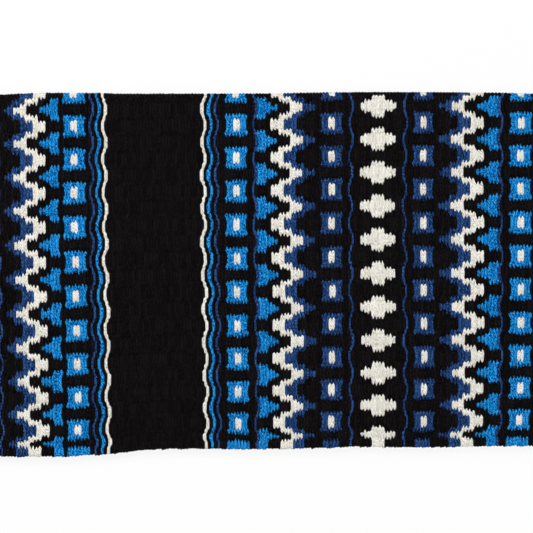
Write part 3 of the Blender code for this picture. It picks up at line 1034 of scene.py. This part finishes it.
round_ring = np.linspace(0, 2 * math.pi, CORD_SIDES, endpoint=False)
round_ring = WARP_CORD_RADIUS * np.stack([np.cos(round_ring), np.sin(round_ring)], axis=-1)
straight_x = half_length - WARP_END_INSET
hidden = np.linspace(-straight_x, straight_x, round(2 * straight_x / HIDDEN_STEP))
turn = np.linspace(-math.pi / 2, math.pi / 2, TURN_POINTS)[1:-1]
loop_x = straight_x + (half_length + WARP_END_REACH - straight_x) * np.cos(turn)
x = np.concatenate([hidden, loop_x, hidden[::-1], -loop_x])
low = np.full(len(hidden), -1.0)
aside = np.concatenate([low, np.sin(turn), -low, -np.sin(turn)])
rings = np.tile(round_ring, (len(x), 1, 1))
# Where the ribs slant over the fold, the cords beside it stay back where the cloth is thick
nearest = WARP_FROM_FOLD + max(abs(slant) for slant in RIB_SLANT)
for leaf, way in (("lower", -1), ("upper", 1)):
    paths = []
    for rib in range(1, len(ribs)):
        nominal = np.clip(rib_middles[rib], nearest, flat_end - WARP_PAIR_REACH)
        middles, ups = inside_cloth(x, way * (nominal + aside * WARP_PAIR_REACH))
        paths.append((middles, ups, rings, True))
    warp = cord_mesh(f"{leaf}_warp_cords", paths, cotton)
    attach(warp, f"{leaf}_leaf")
    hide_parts(f"{leaf}_warp", f"{leaf}_edge_warp")

# Heading cords. They are black wool in two thick plies, twined through the warp's loops at each end
# to keep the last rows from slipping off, and they follow the end of the cloth round its fold.
PLY_RADIUS = 0.00170
PLY_OFFSET = 0.00140
CORD_GAP = 0.0003
TWINE_LENGTH = 0.0135
TWINE_STEP = 0.0011
TWINE_SIDES = 20
PINCH_AT_FOLD = 0.42
PINCH_LENGTH = 0.006
SMALLEST_END_SHARE = 0.02
cord_stations = np.linspace(-cloth_end, cloth_end, round(2 * cloth_end / TWINE_STEP))
cord_x = half_length + CORD_GAP + PLY_RADIUS + PLY_OFFSET
around = np.linspace(0, 2 * math.pi, TWINE_SIDES, endpoint=False)
lobes = PLY_OFFSET * np.abs(np.cos(around)) + np.sqrt(
    PLY_RADIUS**2 - (PLY_OFFSET * np.sin(around)) ** 2
)
for word, side in (("left", -1), ("right", 1)):
    middles, ups = inside_cloth(np.full(len(cord_stations), side * cord_x), cord_stations)
    from_end = (cloth_end - np.abs(cord_stations)) / (PLY_RADIUS + PLY_OFFSET)
    from_end = np.clip(from_end, SMALLEST_END_SHARE, 1)
    fullness = np.sqrt(np.clip(1 - (1 - from_end) ** 2, 0, 1))
    twist = 2 * math.pi * cord_stations / TWINE_LENGTH
    angles = around[None, :] + side * twist[:, None]
    # The turn round the fold is so tight that it pinches the cord
    fullness *= 1 - PINCH_AT_FOLD * np.exp(-((cord_stations / PINCH_LENGTH) ** 2))
    sizes = lobes[None, :] * fullness[:, None]
    rings = np.stack([np.cos(angles) * sizes, np.sin(angles) * sizes], axis=-1)
    cord = cord_mesh(f"heading_cord_{word}", [(middles, ups, rings, False)], yarns[BLACK])
    points = np.zeros(len(cord.data.vertices) * 3, np.float32)
    cord.data.vertices.foreach_get("co", points)
    points = points.reshape(-1, 3)
    # Each half keeps to its own side of the hinge's height, so that opening doesn't stretch it
    upper = np.repeat(cord_stations > 0, TWINE_SIDES)
    points[upper, 2] = np.maximum(points[upper, 2], hinge_z + blend_reach)
    points[~upper, 2] = np.minimum(points[~upper, 2], hinge_z - blend_reach)
    cord.data.vertices.foreach_set("co", points.ravel())
    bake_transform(cord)
    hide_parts(f"lower_heading_cord_{word}", f"upper_heading_cord_{word}")

# Studio: a white paper floor in a white room, two soft lamps, and a long lens straight above the
# blanket. The paper glows for whoever looks at it, which keeps it white, and still takes a shadow.
FLOOR_SIZE = 12
FLOOR_Z = -0.0002
GLOW_SHARE = 0.87
ROOM_LIGHT = 0.44
bpy.ops.mesh.primitive_plane_add(size=FLOOR_SIZE, location=(0, 0, FLOOR_Z))
floor = bpy.context.object
floor.name = "floor"


def is_seen(tree):
    """1 for the rays that show a surface, straight or in a gloss, and 0 for those that light it."""
    path = add_node(tree, "ShaderNodeLightPath")
    seen = path.outputs["Is Camera Ray"]
    for kind in ("Is Glossy Ray", "Is Transmission Ray"):
        seen = add_node(
            tree, "ShaderNodeMath", {0: seen, 1: path.outputs[kind]}, operation="MAXIMUM"
        ).outputs[0]
    return seen


paper = bpy.data.materials.new("white paper")
paper.use_nodes = True
tree = paper.node_tree
tree.nodes.clear()
share = add_node(tree, "ShaderNodeMath", {0: is_seen(tree), 1: GLOW_SHARE}, operation="MULTIPLY")
matt = add_node(tree, "ShaderNodeBsdfDiffuse", {"Color": linear("#f4f4f4")})
bright = add_node(tree, "ShaderNodeEmission", {"Strength": 1.0})
both = add_node(
    tree, "ShaderNodeMixShader", {0: share.outputs[0], 1: matt.outputs[0], 2: bright.outputs[0]}
)
add_node(tree, "ShaderNodeOutputMaterial", {"Surface": both.outputs[0]})
floor.data.materials.append(paper)
floor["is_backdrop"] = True

world = bpy.data.worlds.new("studio")
bpy.context.scene.world = world
world.use_nodes = True
tree = world.node_tree
tree.nodes.clear()
level = add_node(
    tree, "ShaderNodeMapRange", {"Value": is_seen(tree), "To Min": ROOM_LIGHT, "To Max": 1.0}
)
sky = add_node(
    tree, "ShaderNodeBackground", {"Color": linear("#ffffff"), "Strength": level.outputs["Result"]}
)
add_node(tree, "ShaderNodeOutputWorld", {"Surface": sky.outputs[0]})


def softbox(name, place, size, power):
    """A square area lamp that looks at the blanket's middle."""
    bpy.ops.object.light_add(type="AREA", location=place)
    lamp = bpy.context.object
    lamp.name = name
    lamp.data.shape = "SQUARE"
    lamp.data.size = size
    lamp.data.energy = power
    lamp.rotation_euler = Vector(place).to_track_quat("Z", "Y").to_euler()


softbox("key_light", (-1.1, 1.3, 2.1), 1.2, 46)
softbox("fill_light", (1.5, -1.0, 2.0), 1.6, 16)

VIEW_CENTRE = (-0.1357, 0.0095)
VIEW_WIDTH = 0.6487
CAMERA_HEIGHT = 4.0
bpy.ops.object.camera_add(location=(*VIEW_CENTRE, CAMERA_HEIGHT))
camera = bpy.context.object
camera.data.lens = camera.data.sensor_width * (CAMERA_HEIGHT - cad_high.z) / VIEW_WIDTH
camera.data.clip_end = 50
bpy.context.scene.camera = camera
bpy.context.scene.view_settings.view_transform = "Standard"

bpy.ops.object.select_all(action="DESELECT")
low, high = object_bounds()
